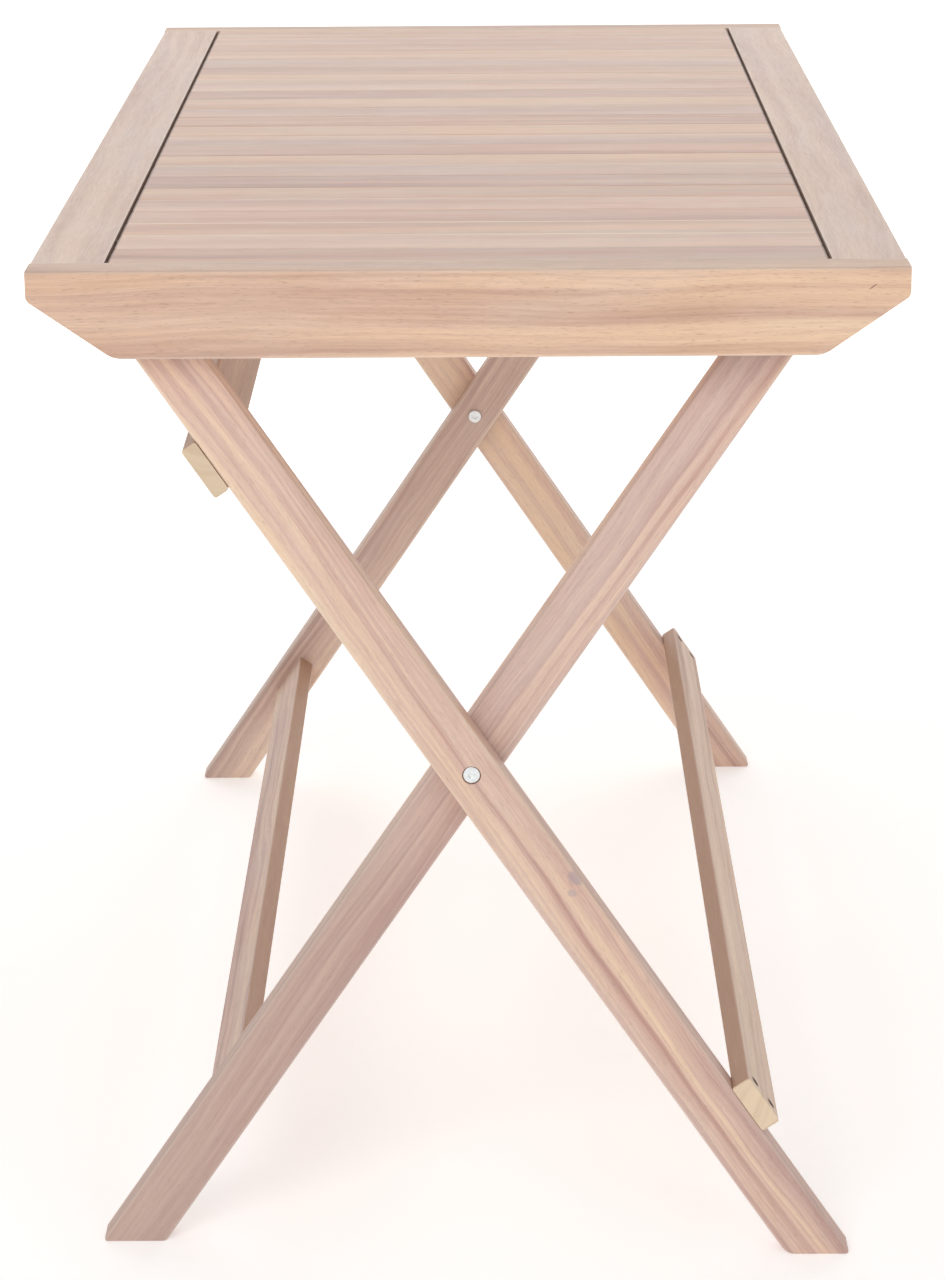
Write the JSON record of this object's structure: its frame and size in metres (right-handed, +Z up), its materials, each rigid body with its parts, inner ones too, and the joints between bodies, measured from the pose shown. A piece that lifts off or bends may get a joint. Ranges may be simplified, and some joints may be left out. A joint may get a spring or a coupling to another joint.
{
  "type": "folding slatted garden table",
  "caption": "Rectangular slatted wooden table top with end boards and side rails, carried by two crossed leg frames that turn on pivot bolts and fold together.",
  "frame": {"origin": "on the floor, midway between the feet and midway along the table", "axes": "+Z up, +Y along the table's length, +X across it towards the side where the outer legs' feet stand"},
  "size_m": [0.6, 1.2, 0.75],
  "materials": {
    "limed_acacia": "white-washed acacia, matt, brushed grain",
    "pale_acacia": "white-washed pale acacia, matt",
    "inner_acacia": "planed acacia, thin white wash",
    "slat_straw": "white-washed acacia with straw-coloured sapwood",
    "slat_rose": "white-washed acacia, rose-grey",
    "slat_pale": "white-washed acacia, pale grey",
    "bolt_zinc": "bright zinc plate",
    "screw_zinc": "zinc plate, slightly dull",
    "insert_brass": "plain brass"
  },
  "bodies": {
    "outer_legs": {"outer_leg_front": "limed_acacia", "outer_leg_rear": "limed_acacia", "outer_crossbar": "pale_acacia", "outer_stretcher": "pale_acacia", "outer_screws": "screw_zinc", "pivot_bolts": "bolt_zinc", "pivot_sleeves": "bolt_zinc", "pivot_washers": "bolt_zinc"},
    "tabletop": {"end_board_front": "limed_acacia", "end_board_rear": "limed_acacia", "rail_left": "limed_acacia", "rail_right": "limed_acacia", "slat_01": "slat_rose", "slat_02": "slat_pale", "slat_03": "slat_straw", "slat_04": "slat_rose", "slat_05": "slat_pale", "slat_06": "slat_straw", "slat_07": "slat_rose", "slat_08": "slat_pale", "slat_09": "slat_straw", "slat_10": "slat_rose", "slat_11": "slat_pale", "slat_12": "slat_straw", "slat_13": "slat_rose", "slat_14": "slat_pale", "slat_15": "slat_straw", "slat_16": "slat_rose", "slat_17": "slat_pale", "slat_18": "slat_straw", "slat_19": "slat_rose", "slat_20": "slat_pale", "slat_21": "slat_straw", "slat_22": "slat_rose", "slat_23": "slat_pale", "slat_24": "slat_straw", "batten_left": "inner_acacia", "batten_right": "inner_acacia", "ledger_front": "inner_acacia", "ledger_rear": "inner_acacia", "top_screws": "screw_zinc", "rail_dowels": "inner_acacia", "stop_front": "inner_acacia", "stop_rear": "inner_acacia", "stop_lip_front": "inner_acacia", "stop_lip_rear": "inner_acacia", "stop_screws": "screw_zinc", "hinge_bolts": "bolt_zinc", "hinge_inserts": "insert_brass", "hinge_spacers": "bolt_zinc"},
    "inner_legs": {"inner_leg_front": "limed_acacia", "inner_leg_rear": "limed_acacia", "inner_stretcher": "limed_acacia", "top_bar": "inner_acacia"}
  },
  "joints": [
    {"name": "top_fold", "type": "hinge", "parent": "outer_legs", "child": "tabletop", "pos_m": [-0.221, 0, 0.7036], "axis": [0, -1, 0], "range_deg": [0, 33.5]},
    {"name": "leg_fold", "type": "hinge", "parent": "outer_legs", "child": "inner_legs", "pos_m": [0, 0, 0.37693], "axis": [0, -1, 0], "range_deg": [0, 67]}
  ],
  "couplings": [
    {"joint": "leg_fold", "follows": "top_fold", "ratio": 2}
  ]
}
